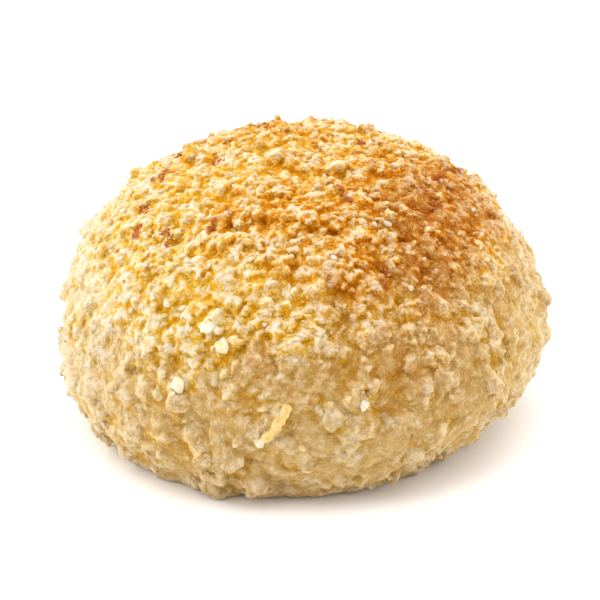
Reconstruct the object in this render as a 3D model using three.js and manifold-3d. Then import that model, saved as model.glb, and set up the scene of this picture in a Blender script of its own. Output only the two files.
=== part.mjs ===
// A round cheese bun: one lopsided dome of soft dough, baked under a coat of cheese crumble.
// Millimetres, +Z up, -Y the front. The bun rests on z = 0, with the origin under its middle.
import * as THREE from "three";
import { ImprovedNoise } from "three/addons/math/ImprovedNoise.js";
import { mergeVertices } from "three/addons/utils/BufferGeometryUtils.js";
import Module from "manifold-3d";

// The dough: a dome above the belly, its widest ring, and a tucked-in underside below it.
const BELLY_RADIUS = 49;
const BELLY_HEIGHT = 17.5;
const BUN_HEIGHT = 57.7; // of the bare dough
const BASE_RADIUS = 36.5;
const BASE_SHIFT = -4; // how far towards +X the flat base lies from the belly's middle
const SHOULDER_POWER = 2.06; // 2 is a true ellipse, more is squarer
const DOUGH_SPLITS = 19; // of each edge of the icosahedron that the dough starts from

// The crust: slow swells of the dough, and lumps of crumble that lie edge to edge all over it.
// Most lumps are narrow, more so with a higher skew, and they are lower towards the base.
const SWELL = { height: 0.7, length: 26 };
const LUMP = { count: 620, widest: 8, narrowest: 4.5, skew: 2, seed: 7 };
const LUMP_RISE = { height: 1.7, lowestShare: 0.35, shareAtBase: 0.5 };

// Crumbs that stand proud of the lumps, largest first.
const CRUMB = { count: 84, widest: 6, narrowest: 3, lowest: 2.5, seed: 41 };
const CRUMB_FORM = { rough: 0.24, slimmest: 0.65, thickness: 0.46, sunk: 0.36, splits: 0 };

// A shred of cheese on the front and a pale crumb beside it, seated by angle from the front and height.
const SHRED = { from: [-3, 26.5], to: [-8, 18], width: 2.2, thickness: 1.8, bow: 0.5, lift: 0.45 };
const SHRED_STEPS = { along: 5, quarterRound: 4 };
const PALE_CRUMB = { at: [15.5, 26], width: 3.6 };

const FLOOR_SIDE = 200;
const CORNER_GAP = 1e-4; // corners nearer than this are one
const CRUST_COLOUR = "#e2b869";

const { clamp, degToRad, lerp, seededRandom } = THREE.MathUtils;
const wasm = await Module();
wasm.setup();

const noise = new ImprovedNoise();
const domeRise = BUN_HEIGHT - BELLY_HEIGHT;
// The underside is the part of an ellipsoid that the floor leaves when it cuts at the base radius.
const floorDrop = Math.sqrt(1 - (BASE_RADIUS / BELLY_RADIUS) ** 2);
const undersideDepth = BELLY_HEIGHT / floorDrop;

function depthOf(z) {
  return z < 0 ? undersideDepth : domeRise;
}

// How far a direction on the unit sphere reaches a sphere with squarer shoulders.
function reachOf(direction) {
  const across = Math.hypot(direction.x, direction.y) ** SHOULDER_POWER;
  const along = Math.abs(direction.z) ** SHOULDER_POWER;
  return (across + along) ** (-1 / SHOULDER_POWER);
}

// The bare dough's point for a direction on the unit sphere.
function onDough(direction) {
  const reach = reachOf(direction);
  const below = Math.max(0, -direction.z * reach) / floorDrop;
  return new THREE.Vector3(
    direction.x * reach * BELLY_RADIUS + BASE_SHIFT * below,
    direction.y * reach * BELLY_RADIUS,
    direction.z * reach * depthOf(direction.z) + BELLY_HEIGHT,
  );
}

// The dough's outward normal there.
function outwards(direction) {
  const { x, y, z } = direction;
  return new THREE.Vector3(x / BELLY_RADIUS, y / BELLY_RADIUS, z / depthOf(z)).normalize();
}

// A direction on the unit sphere from an angle round the bun, 0 at the front, and a height.
function towards(degreesFromFront, height) {
  const z = clamp((height - BELLY_HEIGHT) / depthOf(height - BELLY_HEIGHT), -1, 1);
  return sphereDirection(z, degToRad(degreesFromFront - 90));
}

function sphereDirection(z, turn) {
  const across = Math.sqrt(1 - z * z);
  return new THREE.Vector3(Math.cos(turn) * across, Math.sin(turn) * across, z);
}

// Directions spread evenly from the top down to a height. Both steps are of one even sequence, so
// the first few are spread as evenly as all of them.
function spread(count, lowestHeight) {
  const stepRound = 0.5698402910;
  const stepDown = 0.7548776662;
  const lowest = towards(0, lowestHeight).z;
  return Array.from({ length: count }, (_, i) => {
    const z = lerp(1, lowest, (0.5 + i * stepDown) % 1);
    return sphereDirection(z, 2 * Math.PI * ((0.5 + i * stepRound) % 1));
  });
}

// Lumps of crumble: a seat on the dough, a radius and a height.
function lumpsOfCrumble() {
  const { height: tallest, lowestShare, shareAtBase } = LUMP_RISE;
  seededRandom(LUMP.seed);
  return spread(LUMP.count, 0).map((direction) => {
    const seat = onDough(direction);
    const radius = lerp(LUMP.narrowest, LUMP.widest, seededRandom() ** LUMP.skew) / 2;
    const thinner = lerp(shareAtBase, 1, clamp(seat.z / BUN_HEIGHT, 0, 1));
    const height = tallest * thinner * lerp(lowestShare, 1, seededRandom());
    return { seat, radius, height };
  });
}

const lumps = lumpsOfCrumble();

// The crust's height over the bare dough: the slow swell and the tallest lump that covers the point.
function relief(point) {
  const swell = noise.noise(...point.clone().divideScalar(SWELL.length).toArray());
  let tallest = 0;
  for (const { seat, radius, height } of lumps) {
    const fall = 1 - seat.distanceToSquared(point) / radius ** 2;
    tallest = Math.max(tallest, height * fall);
  }
  return SWELL.height * swell + tallest;
}

function onCrust(direction) {
  const point = onDough(direction);
  return point.addScaledVector(outwards(direction), relief(point));
}

// A closed geometry with nothing but its corners, each kept once.
function cornersOf(geometry) {
  geometry.deleteAttribute("normal");
  geometry.deleteAttribute("uv");
  return mergeVertices(geometry, CORNER_GAP);
}

function solid(geometry) {
  const corners = cornersOf(geometry);
  return new wasm.Manifold(
    new wasm.Mesh({
      numProp: 3,
      vertProperties: corners.attributes.position.array,
      triVerts: new Uint32Array(corners.index.array),
    }),
  );
}

// Moves each corner to where the function puts it.
function reshape(geometry, place) {
  const corners = geometry.attributes.position;
  const corner = new THREE.Vector3();
  for (let i = 0; i < corners.count; i++) {
    corner.fromBufferAttribute(corners, i);
    corners.setXYZ(i, ...place(corner).toArray());
  }
  return geometry;
}

function dough() {
  const ball = cornersOf(new THREE.IcosahedronGeometry(1, DOUGH_SPLITS));
  return solid(reshape(ball, (corner) => onCrust(corner.normalize())));
}

// A craggy crumb of the given width, flattened along the crust and partly sunk in it.
function crumb(direction, width) {
  const { rough, slimmest, thickness, sunk, splits } = CRUMB_FORM;
  const stone = cornersOf(new THREE.IcosahedronGeometry(width / 2, splits));
  reshape(stone, (corner) => corner.multiplyScalar(lerp(1 - rough, 1 + rough, seededRandom())));
  stone.scale(1, lerp(slimmest, 1, seededRandom()), thickness);
  stone.rotateZ(2 * Math.PI * seededRandom());
  const normal = outwards(direction);
  const up = new THREE.Vector3(0, 0, 1);
  stone.applyQuaternion(new THREE.Quaternion().setFromUnitVectors(up, normal));
  const lift = width * thickness * (0.5 - sunk);
  stone.translate(...onCrust(direction).addScaledVector(normal, lift).toArray());
  return solid(stone);
}

function proudCrumbs() {
  seededRandom(CRUMB.seed);
  return spread(CRUMB.count, CRUMB.lowest).map((direction, i) => {
    const smaller = (CRUMB.narrowest / CRUMB.widest) ** (i / (CRUMB.count - 1));
    return crumb(direction, CRUMB.widest * smaller);
  });
}

// A strip that follows the crust from one seat to the other, bowed a little sideways.
function shred() {
  const points = Array.from({ length: SHRED_STEPS.along + 1 }, (_, i) => {
    const share = i / SHRED_STEPS.along;
    const [angle, height] = SHRED.from.map((value, k) => lerp(value, SHRED.to[k], share));
    const direction = towards(angle + SHRED.bow * Math.sin(Math.PI * share), height);
    return onCrust(direction).addScaledVector(outwards(direction), SHRED.lift);
  });
  const section = new THREE.Shape();
  section.absellipse(0, 0, SHRED.thickness / 2, SHRED.width / 2, 0, 2 * Math.PI);
  return solid(
    new THREE.ExtrudeGeometry(section, {
      extrudePath: new THREE.CatmullRomCurve3(points),
      steps: SHRED_STEPS.along,
      curveSegments: SHRED_STEPS.quarterRound,
    }),
  );
}

function floor() {
  const block = new THREE.BoxGeometry(FLOOR_SIDE, FLOOR_SIDE, FLOOR_SIDE);
  return solid(block.translate(0, 0, -FLOOR_SIDE / 2));
}

// The dough with everything on it fused, cut flat where it rests, without scraps that the cut sets loose.
function bun() {
  const paleCrumb = crumb(towards(...PALE_CRUMB.at), PALE_CRUMB.width);
  const pieces = [dough(), ...proudCrumbs(), paleCrumb, shred()];
  const bodies = wasm.Manifold.union(pieces).subtract(floor()).decompose();
  const largest = bodies.reduce((a, b) => (a.volume() > b.volume() ? a : b)).getMesh();
  const geometry = new THREE.BufferGeometry();
  geometry.setAttribute("position", new THREE.BufferAttribute(largest.vertProperties, 3));
  geometry.setIndex(new THREE.BufferAttribute(largest.triVerts, 1));
  geometry.computeBoundingBox();
  const middle = geometry.boundingBox.getCenter(new THREE.Vector3());
  geometry.translate(-middle.x, -middle.y, 0);
  geometry.computeVertexNormals();
  return geometry;
}

const crust = new THREE.MeshStandardMaterial({ color: CRUST_COLOUR, roughness: 0.8, metalness: 0 });
const cheeseBun = new THREE.Mesh(bun(), crust);
cheeseBun.name = "cheese_bun";

const part = new THREE.Group();
part.add(cheeseBun);

export default part;
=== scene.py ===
import math
import random
import time

import bmesh
import bpy
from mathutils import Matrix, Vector
from mathutils.bvhtree import BVHTree


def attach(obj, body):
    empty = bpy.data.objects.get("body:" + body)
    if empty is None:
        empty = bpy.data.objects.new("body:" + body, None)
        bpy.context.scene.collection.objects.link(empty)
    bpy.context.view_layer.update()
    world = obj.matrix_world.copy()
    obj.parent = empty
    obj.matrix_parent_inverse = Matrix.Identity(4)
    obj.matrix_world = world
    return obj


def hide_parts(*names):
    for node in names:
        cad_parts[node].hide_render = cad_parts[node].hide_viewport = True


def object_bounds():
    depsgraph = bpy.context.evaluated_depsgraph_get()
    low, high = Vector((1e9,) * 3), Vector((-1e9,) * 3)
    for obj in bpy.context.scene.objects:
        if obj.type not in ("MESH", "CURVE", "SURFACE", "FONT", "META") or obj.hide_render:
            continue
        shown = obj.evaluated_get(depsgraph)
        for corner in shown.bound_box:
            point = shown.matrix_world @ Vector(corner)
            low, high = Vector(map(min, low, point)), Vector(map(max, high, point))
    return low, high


startTime = time.time()
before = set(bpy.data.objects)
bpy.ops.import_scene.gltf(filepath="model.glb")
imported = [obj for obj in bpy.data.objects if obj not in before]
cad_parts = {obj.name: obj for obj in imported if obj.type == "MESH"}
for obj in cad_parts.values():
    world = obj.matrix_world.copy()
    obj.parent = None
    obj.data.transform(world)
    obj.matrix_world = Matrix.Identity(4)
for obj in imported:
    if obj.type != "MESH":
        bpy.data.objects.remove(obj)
cadLow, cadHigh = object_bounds()  # the CAD box, before anything is added
mm = 0.001
bunHeight = cadHigh.z
bunRadius = (cadHigh.x - cadLow.x) / 2
bellyHeight = 17.5 * mm  # where the bun is widest


def report(stage):
    print(f"[{time.time() - startTime:5.1f} s] {stage}")


# helpers for nodes
def setSocket(tree, socket, value):
    if isinstance(value, bpy.types.NodeSocket):
        tree.links.new(value, socket)
    else:
        socket.default_value = value


def addNode(tree, kind, inputs=None, **settings):
    node = tree.nodes.new(kind)
    for name, value in settings.items():
        setattr(node, name, value)
    for name, value in (inputs or {}).items():
        setSocket(tree, node.inputs[name], value)
    return node


def mathNode(tree, operation, first, second=0.0):
    return addNode(tree, "ShaderNodeMath", {0: first, 1: second}, operation=operation).outputs[0]


def vectorMath(tree, operation, first, second=(0.0, 0.0, 0.0)):
    node = addNode(tree, "ShaderNodeVectorMath", {0: first}, operation=operation)
    setSocket(tree, node.inputs["Scale" if operation == "SCALE" else 1], second)
    return node.outputs["Value" if operation == "DOT_PRODUCT" else "Vector"]


# eases from toLow to toHigh as the value passes from low to high
def blend(tree, value, low, high, toLow=0.0, toHigh=1.0):
    ends = {"From Min": low, "From Max": high, "To Min": toLow, "To Max": toHigh}
    node = addNode(tree, "ShaderNodeMapRange", {"Value": value, **ends}, interpolation_type="SMOOTHSTEP")
    return node.outputs["Result"]


def mixNumber(tree, share, first, second):
    return addNode(tree, "ShaderNodeMix", {0: share, 2: first, 3: second}, data_type="FLOAT").outputs[0]


def mixColour(tree, share, first, second):
    return addNode(tree, "ShaderNodeMix", {0: share, 6: first, 7: second}, data_type="RGBA").outputs[2]


def ramp(tree, share, stops):  # colours along a scale, from its first stop to its last
    node = addNode(tree, "ShaderNodeValToRGB", {0: share})
    scale = node.color_ramp.elements
    scale[0].position, scale[0].color = stops[0]
    scale[1].position, scale[1].color = stops[-1]
    for place, colour in stops[1:-1]:
        scale.new(place).color = colour
    return node.outputs["Color"]


# each use has a seed of its own, and detail adds finer layers
def noiseNode(tree, place, size, seed, detail=2.0):
    sockets = {"Vector": place, "W": float(seed), "Detail": detail}
    node = addNode(tree, "ShaderNodeTexNoise", sockets, noise_dimensions="4D")
    inverse = mathNode(tree, "DIVIDE", 1.0, size) if isinstance(size, bpy.types.NodeSocket) else 1 / size
    setSocket(tree, node.inputs["Scale"], inverse)
    return node.outputs


def swing(tree, place, size, seed, detail=2.0):  # noise about zero, mostly within a quarter either way
    return mathNode(tree, "SUBTRACT", noiseNode(tree, place, size, seed, detail)[0], 0.5)


def newGroup(name, kind, inputs, outputs):
    tree = bpy.data.node_groups.new(name, kind)
    for side, sockets in (("INPUT", inputs), ("OUTPUT", outputs)):
        for title, (socketKind, value) in sockets.items():
            socket = tree.interface.new_socket(title, in_out=side, socket_type="NodeSocket" + socketKind)
            if value is not None:
                socket.default_value = value
    return tree, tree.nodes.new("NodeGroupInput").outputs, tree.nodes.new("NodeGroupOutput").inputs


def geometryGroup(name, inputs):  # a tree for a modifier, with named inputs after its geometry
    geometry = {"Geometry": ("Geometry", None)}
    return newGroup(name, "GeometryNodeTree", {**geometry, **inputs}, geometry)


def sizes(values):  # numbers of a piece's dictionary as named inputs of its tree
    kinds = {int: "Int", float: "Float", bpy.types.Material: "Material"}
    return {name: (kinds[type(value)], None) for name, value in values.items()}


def useTree(obj, tree, values=None):
    modifier = obj.modifiers.new(tree.name, "NODES")
    modifier.node_group = tree
    for item in tree.interface.items_tree:
        if item.in_out == "INPUT" and item.name in (values or {}):
            modifier[item.identifier] = values[item.name]


def store(tree, geometry, name, value, domain="POINT"):
    sockets = {"Geometry": geometry, "Name": name, "Value": value}
    node = addNode(tree, "GeometryNodeStoreNamedAttribute", sockets, data_type="FLOAT", domain=domain)
    return node.outputs[0]


def move(tree, geometry, offset):  # moves every point, and none of them below the floor
    moved = addNode(tree, "GeometryNodeSetPosition", {"Geometry": geometry, "Offset": offset}).outputs[0]
    place = addNode(tree, "GeometryNodeInputPosition").outputs[0]
    parts = addNode(tree, "ShaderNodeSeparateXYZ", {0: place}).outputs
    height = mathNode(tree, "MAXIMUM", parts["Z"], 0.0)
    lifted = addNode(tree, "ShaderNodeCombineXYZ", {0: parts["X"], 1: parts["Y"], 2: height}).outputs[0]
    return addNode(tree, "GeometryNodeSetPosition", {"Geometry": moved, "Position": lifted}).outputs[0]


# helpers for meshes
def addObject(name, mesh):
    obj = bpy.data.objects.new(name, mesh)
    bpy.context.scene.collection.objects.link(obj)
    return obj


def plainMesh(obj, name):  # what the modifiers make, as a mesh of its own; the working object goes
    depsgraph = bpy.context.evaluated_depsgraph_get()
    mesh = bpy.data.meshes.new_from_object(obj.evaluated_get(depsgraph))
    bpy.data.objects.remove(obj)
    mesh.name = name
    return mesh


def addRemesh(obj, voxel, softening):
    remesh = obj.modifiers.new("melt", "REMESH")
    remesh.mode = "VOXEL"
    remesh.voxel_size = voxel
    soft = obj.modifiers.new("soft", "SMOOTH")
    soft.factor = 0.5
    soft.iterations = softening


def triangles(mesh):
    return sum(len(p.vertices) - 2 for p in mesh.polygons)


def screen(red, green, blue):  # a colour as a screen shows it, 0 to 255, made linear
    shares = (c / 255 for c in (red, green, blue))
    linear = [c / 12.92 if c <= 0.04045 else ((c + 0.055) / 1.055) ** 2.4 for c in shares]
    return (*linear, 1.0)


# seats on the bun: the angle off the front, positive to the right, and the lift over the belly, 90 on top
def direction(angle, lift):
    turn, rise = math.radians(angle), math.radians(lift)
    return Vector((math.sin(turn) * math.cos(rise), -math.cos(turn) * math.cos(rise), math.sin(rise)))


def surfaceOf(obj):
    return BVHTree.FromObject(obj, bpy.context.evaluated_depsgraph_get())


def seatOn(surface, angle, lift):
    middle = Vector((0, 0, bellyHeight))
    outwards = direction(angle, lift)
    wellOutside = middle + outwards * 3 * bunRadius
    place, _, _, _ = surface.ray_cast(wellOutside, -outwards)
    return place


def seatPoints(name, surface, seats):  # loose points on a surface, each with the way that it faces
    mesh = bpy.data.meshes.new(name)
    mesh.from_pydata([seatOn(surface, angle, lift) for angle, lift in seats], [], [])
    facing = mesh.attributes.new("facing", "FLOAT_VECTOR", "POINT")
    for entry, (angle, lift) in zip(facing.data, seats):
        entry.vector = direction(angle, lift)
    return addObject(name, mesh)


# how the bake varies: crumble closes over the top and lies in islands lower down, and where the dough
# is bare near the top it has browned; levels are shares of the bun's height
bake = {
    "crumble": (0.38, 0.68), "crumbleLeft": 0.14, "raggedSize": 11 * mm, "ragged": 0.9,
    "islandSize": 6 * mm, "island": (0.49, 0.57), "islandRight": 0.04,
    "rimSize": 5 * mm, "rim": (0.44, 0.56), "rimHeight": (3 * mm, 8 * mm), "cleanFoot": (0.5 * mm, 1.8 * mm),
    "edgeSize": 8 * mm, "bareFall": (0.4, 1.2), "brownFall": (0.1, 1.4),  # in radii of a seat
    "bareSeats": [  # angle, lift, radius
        (58, 46, 16 * mm), (80, 47, 13 * mm), (38, 36, 13 * mm), (165, 42, 15 * mm), (-140, 36, 12 * mm),
    ],
    "bareSparse": 0.8,
    "browned": (0.38, 1.75), "brownRight": 0.12, "brownPatch": 15 * mm, "brownUneven": 0.8, "brownBare": 0.1,
    "brownSeats": [  # angle, lift, radius, how much
        (62, 46, 17 * mm, 0.75), (95, 47, 17 * mm, 0.8), (36, 49, 15 * mm, 0.65), (14, 42, 12 * mm, 0.3),
        (-10, 54, 16 * mm, 0.6), (22, 21, 17 * mm, 0.38), (-13, 19, 12 * mm, 0.28),
        (-160, 55, 22 * mm, 0.6), (165, 44, 17 * mm, 0.6),
    ],
    "softSide": (0.6 * bunRadius, 0.95 * bunRadius), "softLow": (0.3, 0.6),
}
bakeMarks = ("Crumble", "Coat", "Browned", "Soft")


def bakeFields():
    number = {name: ("Float", None) for name in bakeMarks}
    tree, _, result = newGroup("bakeFields", "GeometryNodeTree", {}, number)
    place = addNode(tree, "GeometryNodeInputPosition").outputs[0]
    parts = addNode(tree, "ShaderNodeSeparateXYZ", {0: place}).outputs
    level = mathNode(tree, "DIVIDE", parts["Z"], bunHeight)
    ragged = mathNode(tree, "MULTIPLY", swing(tree, place, bake["raggedSize"], 1, 3.0), bake["ragged"])
    leftwards = mathNode(tree, "MULTIPLY", parts["X"], -bake["crumbleLeft"] / bunRadius)
    top = mathNode(tree, "ADD", mathNode(tree, "ADD", level, ragged), leftwards)
    top = blend(tree, top, *bake["crumble"])
    setSocket(tree, result["Coat"], top)
    island = noiseNode(tree, place, bake["islandSize"], 2, 3.0)[0]
    fewer = mathNode(tree, "MULTIPLY", parts["X"], bake["islandRight"] / bunRadius)
    island = blend(tree, mathNode(tree, "SUBTRACT", island, fewer), *bake["island"])
    crumble = mathNode(tree, "MAXIMUM", top, island)
    rim = blend(tree, noiseNode(tree, place, bake["rimSize"], 15)[0], *bake["rim"])
    rim = mathNode(tree, "MULTIPLY", rim, blend(tree, parts["Z"], *bake["rimHeight"], 1.0, 0.0))
    crumble = mathNode(tree, "MAXIMUM", crumble, rim)
    edge = swing(tree, place, bake["edgeSize"], 3, 3.0)

    def near(fall, angle, lift, radius, most=1.0):  # falls off round a seat, with an uneven edge
        sockets = {0: place, 1: seatOn(cadSurface, angle, lift)}
        away = addNode(tree, "ShaderNodeVectorMath", sockets, operation="DISTANCE").outputs["Value"]
        away = mathNode(tree, "ADD", mathNode(tree, "DIVIDE", away, radius), edge)
        return blend(tree, away, *fall, most, 0.0)

    bare = 0.0
    for seat in bake["bareSeats"]:
        bare = mathNode(tree, "MAXIMUM", bare, near(bake["bareFall"], *seat))
    thinned = mathNode(tree, "MULTIPLY", bare, bake["bareSparse"])
    crumble = mathNode(tree, "MULTIPLY", crumble, mathNode(tree, "SUBTRACT", 1.0, thinned))
    crumble = mathNode(tree, "MULTIPLY", crumble, blend(tree, parts["Z"], *bake["cleanFoot"]))
    sideways = mathNode(tree, "MULTIPLY", parts["X"], bake["brownRight"] / bunRadius)
    patchy = mathNode(tree, "MULTIPLY", swing(tree, place, bake["brownPatch"], 4, 3.0), bake["brownUneven"])
    browned = mathNode(tree, "ADD", mathNode(tree, "ADD", level, sideways), patchy)
    browned = mathNode(tree, "ADD", browned, mathNode(tree, "MULTIPLY", bare, bake["brownBare"]))
    for seat in bake["brownSeats"]:
        browned = mathNode(tree, "ADD", browned, near(bake["brownFall"], *seat))
    side = blend(tree, mathNode(tree, "ABSOLUTE", parts["X"]), *bake["softSide"])
    low = blend(tree, level, *bake["softLow"], 1.0, 0.0)
    soft = mathNode(tree, "MAXIMUM", side, low)
    setSocket(tree, result["Soft"], mathNode(tree, "MULTIPLY", soft, mathNode(tree, "SUBTRACT", 1.0, rim)))
    setSocket(tree, result["Crumble"], crumble)
    setSocket(tree, result["Browned"], blend(tree, browned, *bake["browned"]))
    return tree


# the dough: the CAD bun evened out, with soft mounds and short folds, sunk by the crumble's thickness
dough = {
    "weld": 0.001 * mm, "voxel": 0.7 * mm, "softening": 7,
    "squash": (1.0, 1.0, 0.55),  # mounds and folds run up and down
    "foldGaps": (0.47, 0.6), "flatFoot": (0.3 * mm, 3.0 * mm),
    "relief": {
        "Sunk": 1.6 * mm, "Mound height": 3.0 * mm, "Mound size": 5.0 * mm, "Ripple height": 1.2 * mm,
        "Ripple size": 2.0 * mm, "Fold depth": 1.0 * mm, "Fold size": 8 * mm, "Fold width": 0.05,
    },
}


def doughTree():
    tree, given, result = geometryGroup("doughRelief", sizes(dough["relief"]))
    place = addNode(tree, "GeometryNodeInputPosition").outputs[0]
    tall = vectorMath(tree, "MULTIPLY", place, dough["squash"])
    mound = mathNode(tree, "MULTIPLY", swing(tree, tall, given["Mound size"], 5), given["Mound height"])
    ripple = mathNode(tree, "MULTIPLY", swing(tree, place, given["Ripple size"], 6), given["Ripple height"])
    crest = mathNode(tree, "ABSOLUTE", swing(tree, tall, given["Fold size"], 7, 3.0))
    fold = mathNode(tree, "SUBTRACT", 1.0, blend(tree, crest, 0.0, given["Fold width"]))
    broken = blend(tree, noiseNode(tree, place, given["Fold size"], 8)[0], *dough["foldGaps"])
    fold = mathNode(tree, "MULTIPLY", mathNode(tree, "MULTIPLY", fold, broken), given["Fold depth"])
    height = mathNode(tree, "SUBTRACT", mathNode(tree, "ADD", mound, ripple), fold)
    height = mathNode(tree, "SUBTRACT", height, given["Sunk"])
    parts = addNode(tree, "ShaderNodeSeparateXYZ", {0: place}).outputs
    height = mathNode(tree, "MULTIPLY", height, blend(tree, parts["Z"], *dough["flatFoot"]))
    facing = addNode(tree, "GeometryNodeInputNormal").outputs[0]
    setSocket(tree, result[0], move(tree, given["Geometry"], vectorMath(tree, "SCALE", facing, height)))
    return tree


def makeDough():
    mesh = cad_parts["cheese_bun"].data.copy()
    shape = bmesh.new()
    shape.from_mesh(mesh)
    bmesh.ops.remove_doubles(shape, verts=shape.verts, dist=dough["weld"])
    shape.to_mesh(mesh)
    shape.free()
    obj = addObject("doughWork", mesh)
    addRemesh(obj, dough["voxel"], dough["softening"])
    useTree(obj, doughTree(), dough["relief"])
    return addObject("dough", plainMesh(obj, "dough"))


# crumbs scattered over a surface or set on seats: balls flattened, partly sunk, and craggy where they land
crumbForm = {
    "least": (0.8, 0.6, 0.8), "most": (1.5, 1.0, 1.2), "tilt": 0.5,  # shares of a crumb's size, and radians
    "cragSize": 0.6, "foot": (-0.3, 0.45),  # from the ball's foot up, for painted shade at a crumb's foot
    "shaded": (-0.6, 0.3),  # from turned away from the painted light to facing it
}
paintedLightFrom = (-0.35, 0.1, 0.93)  # where the painted light comes from: sides turned away from it get painted shade


def ballNode(tree, facets):  # an eight-sided bead for facets of 0, and finer balls above that
    if facets:
        return addNode(tree, "GeometryNodeMeshIcoSphere", {"Radius": 0.5, "Subdivisions": facets}).outputs[0]
    return addNode(tree, "GeometryNodeMeshUVSphere", {"Radius": 0.5, "Segments": 4, "Rings": 2}).outputs[0]


def crumbTree(name, values, facets, joined=False, seated=False):
    tree, given, result = geometryGroup(name, sizes(values))
    fields = addNode(tree, "GeometryNodeGroup", node_tree=bakeFieldTree).outputs
    if seated:
        points = addNode(tree, "GeometryNodeMeshToPoints", {"Mesh": given["Geometry"]}).outputs[0]
        named = {"Name": "facing"}
        facing = addNode(tree, "GeometryNodeInputNamedAttribute", named, data_type="FLOAT_VECTOR").outputs[0]
        upright = addNode(tree, "FunctionNodeAlignRotationToVector", {"Vector": facing}, axis="Z").outputs[0]
    else:
        density = mixNumber(tree, fields["Browned"], given["Bare density"], given["Brown density"])
        density = mixNumber(tree, fields["Crumble"], density, given["Crumble density"])
        spread = addNode(tree, "GeometryNodeDistributePointsOnFaces", {
            "Mesh": given["Geometry"], "Density": density, "Seed": given["Seed"]}).outputs
        points, upright = spread["Points"], spread["Rotation"]

    def chance(step, low, high):  # the node keeps a pair of sockets for each kind of number
        kind = "FLOAT_VECTOR" if isinstance(low, tuple) else "FLOAT"
        node = addNode(tree, "FunctionNodeRandomValue", data_type=kind)
        offset = 0 if kind == "FLOAT_VECTOR" else 2
        setSocket(tree, node.inputs[offset], low)
        setSocket(tree, node.inputs[offset + 1], high)
        setSocket(tree, node.inputs["Seed"], mathNode(tree, "ADD", given["Seed"], float(step)))
        return node.outputs[0 if kind == "FLOAT_VECTOR" else 1]

    skewed = mathNode(tree, "POWER", chance(1, 0.0, 1.0), given["Skew"])
    size = mixNumber(tree, skewed, given["Smallest"], given["Largest"])
    if "Coat share" in values:  # smaller where the crumble closes over
        size = mathNode(tree, "MULTIPLY", size, mixNumber(tree, fields["Coat"], 1.0, given["Coat share"]))
    flat = addNode(tree, "ShaderNodeCombineXYZ", {0: 1.0, 1: 1.0, 2: given["Flatness"]}).outputs[0]
    form = vectorMath(tree, "MULTIPLY", chance(2, crumbForm["least"], crumbForm["most"]), flat)
    tilt = crumbForm["tilt"]
    turn = addNode(tree, "FunctionNodeEulerToRotation", {
        0: chance(3, (-tilt, -tilt, -math.pi), (tilt, tilt, math.pi))}).outputs[0]
    turn = addNode(tree, "FunctionNodeRotateRotation", {
        "Rotation": upright, "Rotate By": turn}, rotation_space="LOCAL").outputs[0]
    ball = ballNode(tree, facets)
    height = addNode(tree, "ShaderNodeSeparateXYZ", {
        0: addNode(tree, "GeometryNodeInputPosition").outputs[0]}).outputs["Z"]
    ball = store(tree, ball, "foot", blend(tree, height, *crumbForm["foot"], 1.0, 0.0))
    crumbs = addNode(tree, "GeometryNodeInstanceOnPoints", {
        "Points": points, "Instance": ball, "Rotation": turn,
        "Scale": vectorMath(tree, "SCALE", form, size)}).outputs[0]
    crumbs = store(tree, crumbs, "tone", chance(4, 0.0, 1.0), "INSTANCE")
    sunk = given["Sunk"]  # a share of the ball's own thickness
    if "Soft sunk" in values:
        sunk = mixNumber(tree, fields["Soft"], sunk, given["Soft sunk"])
    down = addNode(tree, "ShaderNodeCombineXYZ", {2: mathNode(tree, "MULTIPLY", sunk, -1.0)}).outputs[0]
    crumbs = addNode(tree, "GeometryNodeTranslateInstances", {
        "Instances": crumbs, "Translation": down, "Local Space": True}).outputs[0]
    crumbs = addNode(tree, "GeometryNodeRealizeInstances", {0: crumbs}).outputs[0]
    place = addNode(tree, "GeometryNodeInputPosition").outputs[0]
    average = mathNode(tree, "MULTIPLY", mathNode(tree, "ADD", given["Smallest"], given["Largest"]), 0.5)
    rough = noiseNode(tree, place, mathNode(tree, "MULTIPLY", average, crumbForm["cragSize"]), 9, 1.0)[1]
    rough = vectorMath(tree, "SUBTRACT", rough, (0.5, 0.5, 0.5))
    crag = mathNode(tree, "MULTIPLY", average, given["Crag"])
    crumbs = move(tree, crumbs, vectorMath(tree, "SCALE", rough, crag))
    # painted shade: each crumb's side turned away from the painted light is marked for deeper colour
    facing = addNode(tree, "GeometryNodeInputNormal").outputs[0]
    facingLight = vectorMath(tree, "DOT_PRODUCT", facing, paintedLightFrom)
    crumbs = store(tree, crumbs, "shaded", blend(tree, facingLight, *crumbForm["shaded"], 1.0, 0.0))
    for name in bakeMarks:
        crumbs = store(tree, crumbs, name.lower(), fields[name])
    crumbs = addNode(tree, "GeometryNodeSetShadeSmooth", {0: crumbs}).outputs[0]
    if "Material" in values:
        crumbs = addNode(tree, "GeometryNodeSetMaterial", {
            "Geometry": crumbs, "Material": given["Material"]}).outputs[0]
    if joined:
        both = addNode(tree, "GeometryNodeJoinGeometry")
        tree.links.new(given["Geometry"], both.inputs[0])
        tree.links.new(crumbs, both.inputs[0])
        crumbs = both.outputs[0]
    setSocket(tree, result[0], crumbs)
    return tree


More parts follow.
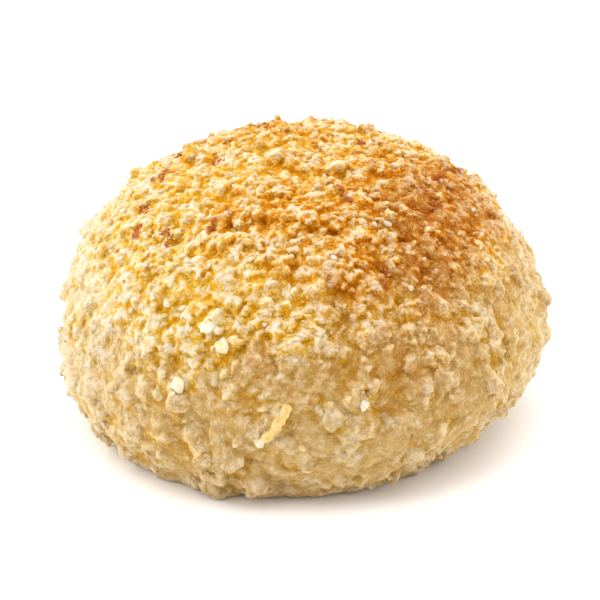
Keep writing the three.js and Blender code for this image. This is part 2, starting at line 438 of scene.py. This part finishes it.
# the crust: clods and coarse crumbs baked onto the dough until they are one skin
crust = {
    "lumps": {
        "Bare density": 0.6e4, "Brown density": 0.3e4, "Crumble density": 3.8e4, "Seed": 2,
        "Smallest": 2.4 * mm, "Largest": 6.0 * mm, "Skew": 1.7, "Coat share": 0.5, "Flatness": 0.6,
        "Sunk": 0.15, "Soft sunk": 0.22, "Crag": 0.6,
    },
    "lumpFacets": 3, "lumpVoxel": 0.42 * mm, "lumpSoftening": 2,
    "crags": {
        "Knob size": 3.6 * mm, "Knob height": 0.7 * mm, "Bead size": 1.9 * mm, "Bead height": 1.0 * mm,
        "Grain size": 1.0 * mm, "Grain height": 0.6 * mm, "Warp": 1.2 * mm, "Bare share": 0.3,
        "Soft share": 0.8,
    },
    "warpSize": 2.4 * mm, "domeReach": 0.85, "lowestDome": 0.35, "flatFoot": (0.3 * mm, 2.0 * mm),
    "crumbs": {
        "Bare density": 8.0e4, "Brown density": 2.5e5, "Crumble density": 2.5e5, "Seed": 11,
        "Smallest": 0.8 * mm, "Largest": 2.2 * mm, "Skew": 1.8, "Flatness": 0.8,
        "Sunk": 0.05, "Soft sunk": 0.28, "Crag": 0.6,
    },
    "crumbFacets": 2, "crumbVoxel": 0.3 * mm, "crumbSoftening": 1, "mostTriangles": 196000,
    "crisp": {"Crisp size": 0.9 * mm, "Crisp height": 1.15 * mm, "Bare share": 0.85, "Soft share": 0.8},
}


def raiseBy(tree, given, place, height):  # less on bare dough and where the crust is soft, none at the floor
    fields = addNode(tree, "GeometryNodeGroup", node_tree=bakeFieldTree).outputs
    height = mathNode(tree, "MULTIPLY", height, mixNumber(tree, fields["Crumble"], given["Bare share"], 1.0))
    height = mathNode(tree, "MULTIPLY", height, mixNumber(tree, fields["Soft"], 1.0, given["Soft share"]))
    parts = addNode(tree, "ShaderNodeSeparateXYZ", {0: place}).outputs
    height = mathNode(tree, "MULTIPLY", height, blend(tree, parts["Z"], *crust["flatFoot"]))
    facing = addNode(tree, "GeometryNodeInputNormal").outputs[0]
    return move(tree, given["Geometry"], vectorMath(tree, "SCALE", facing, height))


def cragTree():
    tree, given, result = geometryGroup("crustCrags", sizes(crust["crags"]))
    place = addNode(tree, "GeometryNodeInputPosition").outputs[0]
    warp = noiseNode(tree, place, crust["warpSize"], 10)[1]
    warp = vectorMath(tree, "SCALE", vectorMath(tree, "SUBTRACT", warp, (0.5, 0.5, 0.5)), given["Warp"])
    warped = vectorMath(tree, "ADD", place, warp)
    height = 0.0
    for name in ("Knob", "Bead", "Grain"):  # each size of cells is a layer of domes of uneven height
        scale = mathNode(tree, "DIVIDE", 1.0, given[name + " size"])
        cells = addNode(tree, "ShaderNodeTexVoronoi", {"Vector": warped, "Scale": scale}).outputs
        dome = blend(tree, cells["Distance"], 0.0, crust["domeReach"], 1.0, 0.0)
        own = addNode(tree, "FunctionNodeSeparateColor", {0: cells["Color"]}).outputs[0]
        dome = mathNode(tree, "MULTIPLY", dome, blend(tree, own, 0.0, 1.0, crust["lowestDome"], 1.0))
        height = mathNode(tree, "ADD", height, mathNode(tree, "MULTIPLY", dome, given[name + " height"]))
    setSocket(tree, result[0], raiseBy(tree, given, place, height))
    return tree


# the finest roughness, put on last so that no smoothing takes it off
def crispTree():
    tree, given, result = geometryGroup("crustCrisp", sizes(crust["crisp"]))
    place = addNode(tree, "GeometryNodeInputPosition").outputs[0]
    height = mathNode(tree, "MULTIPLY", swing(tree, place, given["Crisp size"], 16), given["Crisp height"])
    setSocket(tree, result[0], raiseBy(tree, given, place, height))
    return tree


# marks for the finish: the rise over the dough, how deep a point lies in a crease or a hollow, how far it
# is turned away from the light above, which give painted shade, and the scorch round the toasted bits
marks = {
    "crease": 6, "hollow": 40, "under": 60,  # rounds of blurring
    "scorch": (0.3 * mm, 1.4 * mm), "scorchEdge": 1.6 * mm, "scorchEdgeSize": 0.8 * mm,
}


def marksTree():
    inputs = {"Dough": ("Object", None), "Toasted": ("Object", None)}
    tree, given, result = geometryGroup("crustMarks", inputs)
    fields = addNode(tree, "GeometryNodeGroup", node_tree=bakeFieldTree).outputs
    bare = addNode(tree, "GeometryNodeObjectInfo", {"Object": given["Dough"]}).outputs["Geometry"]
    rise = addNode(tree, "GeometryNodeProximity", {0: bare}, target_element="FACES").outputs["Distance"]
    place = addNode(tree, "GeometryNodeInputPosition").outputs[0]
    facing = addNode(tree, "GeometryNodeInputNormal").outputs[0]
    geometry = move(tree, given["Geometry"], (0.0, 0.0, 0.0))
    geometry = store(tree, geometry, "rise", rise)
    spots = addNode(tree, "GeometryNodeObjectInfo", {"Object": given["Toasted"]}).outputs["Geometry"]
    away = addNode(tree, "GeometryNodeProximity", {0: spots}, target_element="POINTS").outputs["Distance"]
    uneven = mathNode(tree, "MULTIPLY", swing(tree, place, marks["scorchEdgeSize"], 12), marks["scorchEdge"])
    away = mathNode(tree, "ADD", away, uneven)
    geometry = store(tree, geometry, "scorch", blend(tree, away, *marks["scorch"], 1.0, 0.0))

    def around(value, rounds):  # the value averaged over the points near by
        node = addNode(tree, "GeometryNodeBlurAttribute", {"Iterations": rounds}, data_type="FLOAT_VECTOR")
        tree.links.new(value, [s for s in node.inputs if s.enabled][0])
        return [s for s in node.outputs if s.enabled][0]

    for name in ("crease", "hollow"):
        sunk = vectorMath(tree, "SUBTRACT", around(place, marks[name]), place)
        geometry = store(tree, geometry, name, vectorMath(tree, "DOT_PRODUCT", sunk, facing))
    # painted shade: how far a point is turned from the painted light, against the average facing round it
    even = vectorMath(tree, "NORMALIZE", around(facing, marks["under"]))
    turned = vectorMath(tree, "SUBTRACT", even, facing)
    geometry = store(tree, geometry, "under", vectorMath(tree, "DOT_PRODUCT", turned, paintedLightFrom))
    for name in bakeMarks:
        geometry = store(tree, geometry, name.lower(), fields[name])
    setSocket(tree, result[0], geometry)
    return tree


def makeCrust(doughObject):
    work = addObject("crustWork", doughObject.data.copy())
    lumps = crumbTree("lumps", crust["lumps"], crust["lumpFacets"], joined=True)
    useTree(work, lumps, crust["lumps"])
    addRemesh(work, crust["lumpVoxel"], crust["lumpSoftening"])
    useTree(work, cragTree(), crust["crags"])
    crumbs = crumbTree("coarseCrumbs", crust["crumbs"], crust["crumbFacets"], joined=True)
    useTree(work, crumbs, crust["crumbs"])
    addRemesh(work, crust["crumbVoxel"], crust["crumbSoftening"])
    mesh = plainMesh(work, "crustMesh")
    report(f"crust fused, {triangles(mesh)} triangles")
    work = addObject("crustWork", mesh)
    thin = work.modifiers.new("thin", "DECIMATE")
    thin.ratio = min(1.0, crust["mostTriangles"] / triangles(mesh))
    useTree(work, crispTree(), crust["crisp"])
    return addObject("bun_crust", plainMesh(work, "bun_crust"))


def markCrust(crustObject, doughObject, toastedPoints):
    useTree(crustObject, marksTree(), {"Dough": doughObject, "Toasted": toastedPoints})
    return addObject("bun_crust", plainMesh(crustObject, "bun_crust"))


# loose grains of crumble, finer than the crust's own crumbs
grains = {
    "crumble_grains": {
        "facets": 1,
        "form": {
            "Bare density": 0.0, "Brown density": 6.0e5, "Crumble density": 4.0e5, "Seed": 23,
            "Smallest": 0.6 * mm, "Largest": 1.5 * mm, "Skew": 1.8, "Flatness": 0.85,
            "Sunk": 0.27, "Crag": 0.5,
        },
    },
    "fine_grains": {
        "facets": 0,
        "form": {
            "Bare density": 0.0, "Brown density": 1.2e6, "Crumble density": 5.0e5, "Seed": 37,
            "Smallest": 0.4 * mm, "Largest": 0.9 * mm, "Skew": 1.5, "Flatness": 0.9,
            "Sunk": 0.25, "Crag": 0.5,
        },
    },
}


def makeGrains(name, surface, finish):
    values = {**grains[name]["form"], "Material": finish}
    work = addObject("grainWork", surface.data.copy())
    useTree(work, crumbTree(name, values, grains[name]["facets"]), values)
    made = addObject(name, plainMesh(work, name))
    report(f"{name}, {triangles(made.data)} triangles")
    return made


# bits on seats of their own, an angle and a lift each: those that show in front, and more all round
toasted = {
    "seats": [
        (-88, 67), (-27, 81), (-75, 43), (-34, 51), (-66, 38), (-154, 63), (-93, 50), (-52, 41), (109, 71),
        (68, 53), (59, 48), (25, 37),
    ],
    "turnedBelow": 65,  # seats lower than this lift are used again at the back
    "parts": 5, "reach": 1.3, "seed": 5, "facets": 2,
    "form": {
        "Seed": 51, "Smallest": 0.5 * mm, "Largest": 1.2 * mm, "Skew": 1.4, "Flatness": 0.5,
        "Sunk": 0.2, "Crag": 0.7,
    },
}
sugar = {
    "seats": [
        (176, 78), (-154, 62), (37, 53.5), (25, 52), (36, 50), (31, 51), (-5, 72), (-15, 45), (-43, 55),
    ],
    "more": 150, "lowest": 20, "seed": 8, "facets": 2,
    "form": {
        "Seed": 61, "Smallest": 0.6 * mm, "Largest": 1.5 * mm, "Skew": 1.8, "Flatness": 0.85,
        "Sunk": 0.05, "Crag": 0.5,
    },
}
flakes = {
    "seats": [
        (-24, 24), (-19.5, 20.5), (13.6, 8.2), (-9.4, -1.2), (-29, 10), (150, 30), (-120, 22), (170, 55),
    ],
    "facets": 4,
    "form": {
        "Seed": 72, "Smallest": 2.4 * mm, "Largest": 3.6 * mm, "Skew": 1.0, "Flatness": 0.5,
        "Sunk": -0.12, "Crag": 0.6,
    },
    "crisp": {"Crisp size": 1.2 * mm, "Crisp height": 1.0 * mm, "Bare share": 1.0, "Soft share": 1.0},
}


def toastedSeats():
    draw = random.Random(toasted["seed"])
    front = toasted["seats"]
    back = [(angle + 180, lift) for angle, lift in front if lift < toasted["turnedBelow"]]
    seats = []
    for angle, lift in front + back:
        for _ in range(toasted["parts"]):
            sideways = draw.gauss(0, toasted["reach"]) / math.cos(math.radians(lift))
            seats.append((angle + sideways, lift + draw.gauss(0, toasted["reach"])))
    return seats


def sugarSeats():
    draw = random.Random(sugar["seed"])
    lowest = math.sin(math.radians(sugar["lowest"]))
    seats = list(sugar["seats"])
    for _ in range(sugar["more"]):
        angle = draw.uniform(-180, 180)
        seats.append((angle, math.degrees(math.asin(draw.uniform(lowest, 1)))))
    return seats


def makeBits(name, seats, kind, finish):
    values = {**kind["form"], "Material": finish}
    useTree(seats, crumbTree(name, values, kind["facets"], seated=True), values)
    if "crisp" in kind:
        useTree(seats, crispTree(), kind["crisp"])
    made = addObject(name, plainMesh(seats, name))
    report(f"{name}, {triangles(made.data)} triangles")
    return made


# a shred of cheese down the front: a ribbon that follows the crust
shred = {
    "from": (-3.2, 9.0), "to": (-8.7, -0.6), "bow": 0.8,
    "width": 2.0 * mm, "thick": 1.3 * mm, "lift": 0.25,  # the lift is a share of its thickness
    "steps": 18, "sides": 10, "levels": 2, "evenOver": 3,
    "waves": [(0.16, 1.9, 0.0), (0.1, 0.8, 1.0)],  # share of the width, pace along the steps, start
    "tip": 0.15, "tipPower": 8,
    "crisp": {"Crisp size": 1.3 * mm, "Crisp height": 1.2 * mm, "Bare share": 1.0, "Soft share": 1.0},
}


def makeShred(surface, finish):
    steps, sides = shred["steps"], shred["sides"]
    seats = []
    for i in range(steps + 1):
        share = i / steps
        angle, lift = (a + (b - a) * share for a, b in zip(shred["from"], shred["to"]))
        seats.append((angle + shred["bow"] * math.sin(math.pi * share), lift))
    reach = [(seatOn(surface, *seat) - Vector((0, 0, bellyHeight))).length for seat in seats]
    shape = bmesh.new()
    rings = []
    for i, seat in enumerate(seats):
        near = reach[max(0, i - shred["evenOver"]):i + shred["evenOver"] + 1]
        outwards = direction(*seat)
        height = sum(near) / len(near) + shred["lift"] * shred["thick"]
        middle = Vector((0, 0, bellyHeight)) + outwards * height
        ahead = direction(*seats[min(i + 1, steps)])
        back = direction(*seats[max(i - 1, 0)])
        across = outwards.cross(ahead - back).normalized()
        wave = 1.0
        for most, pace, start in shred["waves"]:
            wave += most * math.sin(pace * i + start)
        rounded = math.sqrt(max(0.0, 1 - (2 * i / steps - 1) ** shred["tipPower"]))
        tip = rounded * (1 - shred["tip"]) + shred["tip"]
        ring = []
        for k in range(sides):
            turn = 2 * math.pi * k / sides
            sideways = across * math.cos(turn) * shred["width"] / 2 * wave * tip
            upwards = outwards * math.sin(turn) * shred["thick"] / 2 * tip
            ring.append(shape.verts.new(middle + sideways + upwards))
        rings.append(ring)
    for one, other in zip(rings, rings[1:]):
        for k in range(sides):
            shape.faces.new((one[k], one[k - 1], other[k - 1], other[k]))
    shape.faces.new(rings[0])
    shape.faces.new(list(reversed(rings[-1])))
    bmesh.ops.recalc_face_normals(shape, faces=shape.faces)
    mesh = bpy.data.meshes.new("cheese_shred")
    shape.to_mesh(mesh)
    shape.free()
    mesh.materials.append(finish)
    mesh.shade_smooth()
    made = addObject("cheese_shred", mesh)
    rounder = made.modifiers.new("rounder", "SUBSURF")
    rounder.levels = shred["levels"]
    rounder.render_levels = shred["levels"]
    useTree(made, crispTree(), shred["crisp"])
    made = addObject("cheese_shred", plainMesh(made, "cheese_shred"))
    report(f"cheese_shred, {triangles(made.data)} triangles")
    return made


# finishes
def material(name, roughness, specular):
    made = bpy.data.materials.new(name)
    made.use_nodes = True
    shader = made.node_tree.nodes["Principled BSDF"]
    shader.inputs["Roughness"].default_value = roughness
    shader.inputs["Specular IOR Level"].default_value = specular
    return made, made.node_tree, shader


soaked = {  # how far light soaks in; in loose grains all colours alike, or the red is lost below
    "crust": {"Weight": 0.8, "Radius": (1.0, 0.7, 0.2), "Scale": 1.5 * mm},
    "grain": {"Weight": 0.6, "Radius": (1.0, 1.0, 0.8), "Scale": 0.12 * mm},
}


def soak(shader, kind):
    for name, value in soaked[kind].items():
        shader.inputs["Subsurface " + name].default_value = value


def attribute(tree, name):
    return addNode(tree, "ShaderNodeAttribute", attribute_name=name).outputs["Fac"]


packed = {"size": 0.7 * mm, "fuzzSize": 0.5, "fuzz": 0.6}  # the fuzz in shares of a grain


def fineGrain():  # packed grains too fine to model: their height, and a number that is each grain's own
    inputs = {"Size": ("Float", packed["size"])}
    outputs = {"Height": ("Float", None), "Speck": ("Float", None)}
    tree, given, result = newGroup("fineGrain", "ShaderNodeTree", inputs, outputs)
    place = addNode(tree, "ShaderNodeTexCoord").outputs["Object"]
    scale = mathNode(tree, "DIVIDE", 1.0, given["Size"])
    cells = addNode(tree, "ShaderNodeTexVoronoi", {"Vector": place, "Scale": scale}).outputs
    fuzz = noiseNode(tree, place, mathNode(tree, "MULTIPLY", given["Size"], packed["fuzzSize"]), 13)[0]
    height = mathNode(tree, "SUBTRACT", mathNode(tree, "MULTIPLY", fuzz, packed["fuzz"]), cells["Distance"])
    setSocket(tree, result["Height"], height)
    own = addNode(tree, "ShaderNodeSeparateColor", {0: cells["Color"]}).outputs[0]
    setSocket(tree, result["Speck"], own)
    return tree


def grainBump(tree, shader, size, deep):
    grain = addNode(tree, "ShaderNodeGroup", node_tree=fineGrainTree)
    grain.inputs["Size"].default_value = size
    height = grain.outputs["Height"]
    bump = addNode(tree, "ShaderNodeBump", {"Height": height, "Strength": 1.0, "Distance": deep})
    setSocket(tree, shader.inputs["Normal"], bump.outputs[0])
    return height, grain.outputs["Speck"]


ownShare = 0.67  # of a tone in the photograph that is the food's own, as the light there is strong


def paint(red, green, blue):
    return (*(ownShare * c for c in screen(red, green, blue)[:3]), 1.0)


crumbleColours = {  # from the tips down into the creases, where the deeper golden colours are painted shade
    "pale": [(0.1, paint(251, 233, 206)), (0.4, paint(247, 216, 154)), (0.65, paint(246, 200, 84)),
             (0.95, paint(244, 178, 14))],
    "brown": [(0.1, paint(249, 224, 188)), (0.4, paint(237, 188, 104)), (0.65, paint(227, 149, 22)),
              (0.95, paint(212, 118, 0))],
}
# the dough's colours along the same painted-shade depth
doughColours = {
    "pale": [(0.1, paint(218, 182, 116)), (0.5, paint(204, 159, 82)), (0.9, paint(200, 140, 36))],
    "brown": [(0.1, paint(208, 143, 60)), (0.5, paint(192, 117, 28)), (0.9, paint(168, 86, 0))],
}
depthMarks = {  # a mark's range, and what it adds on bare dough and in the coat: painted shade in creases, hollows and sides turned from the light
    "crease": (-0.2 * mm, 0.25 * mm, 0.25, 0.3),
    "hollow": (-0.5 * mm, 0.6 * mm, 0.4, 0.3),
    "under": (-0.1, 0.45, 0.2, 0.4),
}
goldenPits = {"size": 6 * mm, "range": (0.42, 0.6, 0.35, 1.0)}  # the few deep spots where the crust is soft, the only places there that keep the painted shade
clodTint = {"size": 3.6 * mm, "range": (0.4, 0.6, -0.14, 0.16)}  # paler and deeper clods in the coat


# painted shade: creases, hollows and sides turned from the light give the colour its depth; the clods add a
# random tone
def creaseDepth():
    tree, _, result = newGroup("creaseDepth", "ShaderNodeTree", {}, {"Depth": ("Float", None)})
    coat = attribute(tree, "coat")
    depth = 0.0
    for name, (low, high, bareShare, coatShare) in depthMarks.items():
        mark = blend(tree, attribute(tree, name), low, high)
        mark = mathNode(tree, "MULTIPLY", mark, mixNumber(tree, coat, bareShare, coatShare))
        depth = mathNode(tree, "ADD", depth, mark)
    place = addNode(tree, "ShaderNodeTexCoord").outputs["Object"]
    pits = blend(tree, noiseNode(tree, place, goldenPits["size"], 17)[0], *goldenPits["range"])
    few = mathNode(tree, "MAXIMUM", attribute(tree, "soft"), mathNode(tree, "SUBTRACT", 1.0, coat))
    depth = mathNode(tree, "MULTIPLY", depth, mixNumber(tree, few, 1.0, pits))
    clods = blend(tree, noiseNode(tree, place, clodTint["size"], 19)[0], *clodTint["range"])
    depth = mathNode(tree, "ADD", depth, mathNode(tree, "MULTIPLY", clods, coat))
    setSocket(tree, result["Depth"], depth)
    return tree


def bakedTint():
    inputs = {"Browned": ("Float", 0.0), "Depth": ("Float", 0.0), "Crumble": ("Float", 0.0)}
    tree, given, result = newGroup("bakedTint", "ShaderNodeTree", inputs, {"Colour": ("Color", None)})

    def shade(colours):
        pale, brown = (ramp(tree, given["Depth"], colours[name]) for name in ("pale", "brown"))
        return mixColour(tree, given["Browned"], pale, brown)

    tint = mixColour(tree, given["Crumble"], shade(doughColours), shade(crumbleColours))
    setSocket(tree, result["Colour"], tint)
    return tree


paleness = {  # how far the crumble below the coat has the coat's colours, and how the sides are paler: partly less browned, partly painted light
    "islands": 0.4, "left": (-0.35 * bunRadius, -0.95 * bunRadius, 0.0, 1.0),
    "right": (0.65 * bunRadius, 1.0 * bunRadius, 0.0, 0.6), "depth": 0.82, "crumble": 0.7,
    "mottleSize": 1.5 * mm, "mottle": (0.38, 0.64, -0.26, 0.3),
}


def useTint(tree, depth, crumble):
    tint = addNode(tree, "ShaderNodeGroup", node_tree=bakedTintTree)
    setSocket(tree, tint.inputs["Browned"], attribute(tree, "browned"))
    place = addNode(tree, "ShaderNodeTexCoord").outputs["Object"]
    across = addNode(tree, "ShaderNodeSeparateXYZ", {0: place}).outputs["X"]
    # partly painted light: the far left and right get paler, less deep colours
    left, right = (blend(tree, across, *paleness[name]) for name in ("left", "right"))
    side = mathNode(tree, "MAXIMUM", left, right)
    depth = mathNode(tree, "MULTIPLY", depth, mixNumber(tree, side, 1.0, paleness["depth"]))
    setSocket(tree, tint.inputs["Depth"], depth)
    own = mixNumber(tree, attribute(tree, "coat"), paleness["islands"], 1.0)
    crumble = mathNode(tree, "MULTIPLY", crumble, own)
    crumble = mathNode(tree, "MAXIMUM", crumble, mathNode(tree, "MULTIPLY", side, paleness["crumble"]))
    mottle = noiseNode(tree, place, paleness["mottleSize"], 18, 3.0)[0]
    crumble = mathNode(tree, "ADD", crumble, blend(tree, mottle, *paleness["mottle"]))
    setSocket(tree, tint.inputs["Crumble"], crumble)
    return tint.outputs["Colour"]


crustSkin = {  # the fine grain's size and depth, then how its pits, as painted shade, and its specks deepen the colour
    "roughness": 0.6, "specular": 0.04, "coat": (0.1, 0.6, 0.2, 0.0), "coatRoughness": 0.3,
    "grain": (0.6 * mm, 0.24 * mm), "pits": (-0.4, 0.2, 0.18, -0.16), "speck": 0.1,
    "risen": (0.2 * mm, 1.2 * mm), "scorch": paint(170, 84, 20),
}


def crustFinish():
    made, tree, shader = material("baked_crust", crustSkin["roughness"], crustSkin["specular"])
    soak(shader, "crust")
    height, speck = grainBump(tree, shader, *crustSkin["grain"])
    depth = addNode(tree, "ShaderNodeGroup", node_tree=creaseDepthTree).outputs["Depth"]
    depth = mathNode(tree, "ADD", depth, mathNode(tree, "MULTIPLY", speck, crustSkin["speck"]))
    # painted shade in the pits between the fine grains
    depth = mathNode(tree, "ADD", depth, blend(tree, height, *crustSkin["pits"]))
    setSocket(tree, shader.inputs["Coat Weight"], blend(tree, depth, *crustSkin["coat"]))
    shader.inputs["Coat Roughness"].default_value = crustSkin["coatRoughness"]
    risen = blend(tree, attribute(tree, "rise"), *crustSkin["risen"])
    crumble = mathNode(tree, "MAXIMUM", risen, attribute(tree, "crumble"))
    tint = mixColour(tree, attribute(tree, "scorch"), useTint(tree, depth, crumble), crustSkin["scorch"])
    setSocket(tree, shader.inputs["Base Color"], tint)
    return made


grainSkin = {  # tip is the share of the spot's painted-shade depth at a grain's tip, and the rest adds to it; foot and shaded add painted shade
    "roughness": 0.4, "specular": 0.15, "grain": (0.35 * mm, 0.08 * mm),
    "tip": 0.75, "foot": 0.25, "shaded": 0.35, "tone": (-0.1, 0.1),
}


def grainFinish():  # as deep in colour as the spot that a grain lies on, less so at its tip, with painted shade at its foot and turned side
    made, tree, shader = material("crumble_grain", grainSkin["roughness"], grainSkin["specular"])
    soak(shader, "grain")
    depth = addNode(tree, "ShaderNodeGroup", node_tree=creaseDepthTree).outputs["Depth"]
    share = mixNumber(tree, attribute(tree, "foot"), grainSkin["tip"], 1.0)
    depth = mathNode(tree, "MULTIPLY", depth, share)
    for name in ("foot", "shaded"):
        more = mathNode(tree, "MULTIPLY", attribute(tree, name), grainSkin[name])
        depth = mathNode(tree, "ADD", depth, more)
    depth = mathNode(tree, "ADD", depth, blend(tree, attribute(tree, "tone"), 0.0, 1.0, *grainSkin["tone"]))
    setSocket(tree, shader.inputs["Base Color"], useTint(tree, depth, attribute(tree, "crumble")))
    grainBump(tree, shader, *grainSkin["grain"])
    return made


toastedSkin = {
    "roughness": 0.45, "specular": 0.2, "grain": (0.3 * mm, 0.08 * mm),
    "light": paint(214, 116, 30), "dark": paint(168, 78, 16),
}


def toastedFinish():
    made, tree, shader = material("toasted_bit", toastedSkin["roughness"], toastedSkin["specular"])
    tint = mixColour(tree, attribute(tree, "tone"), toastedSkin["light"], toastedSkin["dark"])
    setSocket(tree, shader.inputs["Base Color"], tint)
    grainBump(tree, shader, *toastedSkin["grain"])
    return made


sugarSkin = {
    "roughness": 0.12, "specular": 0.5, "transmission": 0.5, "ior": 1.45,
    "clear": screen(255, 244, 220), "warm": screen(255, 228, 184),
}


def sugarFinish():
    made, tree, shader = material("sugar_crystal", sugarSkin["roughness"], sugarSkin["specular"])
    shader.inputs["Transmission Weight"].default_value = sugarSkin["transmission"]
    shader.inputs["IOR"].default_value = sugarSkin["ior"]
    tint = mixColour(tree, attribute(tree, "tone"), sugarSkin["clear"], sugarSkin["warm"])
    setSocket(tree, shader.inputs["Base Color"], tint)
    return made


cheeseSkin = {
    "roughness": 0.45, "specular": 0.2, "grain": (0.5 * mm, 0.15 * mm), "mottleSize": 1.6 * mm,
    "mottle": (0.35, 0.65),
    "pale_cheese": (paint(255, 248, 228), paint(250, 228, 180)),
    "golden_cheese": (paint(252, 226, 164), paint(244, 200, 116)),
}


def cheeseFinish(name):
    made, tree, shader = material(name, cheeseSkin["roughness"], cheeseSkin["specular"])
    soak(shader, "crust")
    place = addNode(tree, "ShaderNodeTexCoord").outputs["Object"]
    mottle = noiseNode(tree, place, cheeseSkin["mottleSize"], 14, 3.0)[0]
    tint = mixColour(tree, blend(tree, mottle, *cheeseSkin["mottle"]), *cheeseSkin[name])
    setSocket(tree, shader.inputs["Base Color"], tint)
    grainBump(tree, shader, *cheeseSkin["grain"])
    return made


# studio: pale floor, a soft lamp overhead and one on each side, camera at the photograph's angle
view = {
    "raised": 25.0, "distance": 600 * mm, "target": (-0.4 * mm, 0.0, 24.0 * mm),
    "lens": 180.7, "near": 10 * mm,
}
paper = {"half": 3.0, "shade": 0.95, "roughness": 0.9, "specular": 0.2}
worldStrength = 0.56
lamps = {
    "top": {"from": (-0.1, 0.0, 0.9), "size": 1.2, "power": 10.0},
    "left": {"from": (-0.8, -0.15, 0.34), "size": 1.4, "power": 11.0},
    "right": {"from": (0.8, 0.0, 0.45), "size": 1.4, "power": 9.6},
}


def aim(obj, target):
    obj.rotation_mode = "QUATERNION"
    obj.rotation_quaternion = (Vector(target) - obj.location).to_track_quat("-Z", "Y")


def makeStudio():
    scene = bpy.context.scene
    scene.view_settings.view_transform = "Standard"
    scene.world = bpy.data.worlds.new("studioLight")
    scene.world.use_nodes = True
    background = scene.world.node_tree.nodes["Background"]
    background.inputs["Color"].default_value = (1, 1, 1, 1)
    background.inputs["Strength"].default_value = worldStrength
    mesh = bpy.data.meshes.new("floor")
    half = paper["half"]
    corners = [(-half, -half, 0), (half, -half, 0), (half, half, 0), (-half, half, 0)]
    mesh.from_pydata(corners, [], [(0, 1, 2, 3)])
    floor = addObject("floor", mesh)
    matt, _, shader = material("floor_paper", paper["roughness"], paper["specular"])
    shader.inputs["Base Color"].default_value = (paper["shade"], paper["shade"], paper["shade"], 1)
    mesh.materials.append(matt)
    for name, lamp in lamps.items():
        light = bpy.data.lights.new(name, "AREA")
        light.size = lamp["size"]
        light.energy = lamp["power"]
        obj = bpy.data.objects.new(name, light)
        obj.location = lamp["from"]
        scene.collection.objects.link(obj)
        aim(obj, view["target"])
    camera = bpy.data.objects.new("camera", bpy.data.cameras.new("camera"))
    camera.location = Vector(view["target"]) + view["distance"] * direction(0, view["raised"])
    camera.data.lens = view["lens"]
    camera.data.clip_start = view["near"]
    scene.collection.objects.link(camera)
    aim(camera, view["target"])
    scene.camera = camera


# everything in its order: the trees that others use, the crust, then what lies on it
makeStudio()
cadSurface = surfaceOf(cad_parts["cheese_bun"])
bakeFieldTree = bakeFields()
creaseDepthTree = creaseDepth()
bakedTintTree = bakedTint()
fineGrainTree = fineGrain()
doughObject = makeDough()
report(f"dough, {triangles(doughObject.data)} triangles")
bunCrust = makeCrust(doughObject)
toastedPoints = seatPoints("toastedSeats", surfaceOf(bunCrust), toastedSeats())
bunCrust = markCrust(bunCrust, doughObject, toastedPoints)
crustSurface = surfaceOf(bunCrust)
bpy.data.objects.remove(doughObject)
report(f"crust, {triangles(bunCrust.data)} triangles")
bunCrust.data.materials.clear()
bunCrust.data.materials.append(crustFinish())
bunCrust.data.shade_smooth()
grainMaterial = grainFinish()
flakeMaterial = cheeseFinish("pale_cheese")
shredMaterial = cheeseFinish("golden_cheese")
sugarPoints = seatPoints("sugarSeats", crustSurface, sugarSeats())
flakePoints = seatPoints("flakeSeats", crustSurface, flakes["seats"])
pieces = [bunCrust] + [makeGrains(name, bunCrust, grainMaterial) for name in grains]
pieces.append(makeBits("toasted_bits", toastedPoints, toasted, toastedFinish()))
pieces.append(makeBits("sugar_crystals", sugarPoints, sugar, sugarFinish()))
pieces.append(makeBits("cheese_flakes", flakePoints, flakes, flakeMaterial))
pieces.append(makeShred(crustSurface, shredMaterial))
for piece in pieces:
    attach(piece, "root")
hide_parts("cheese_bun")

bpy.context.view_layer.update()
report("done")
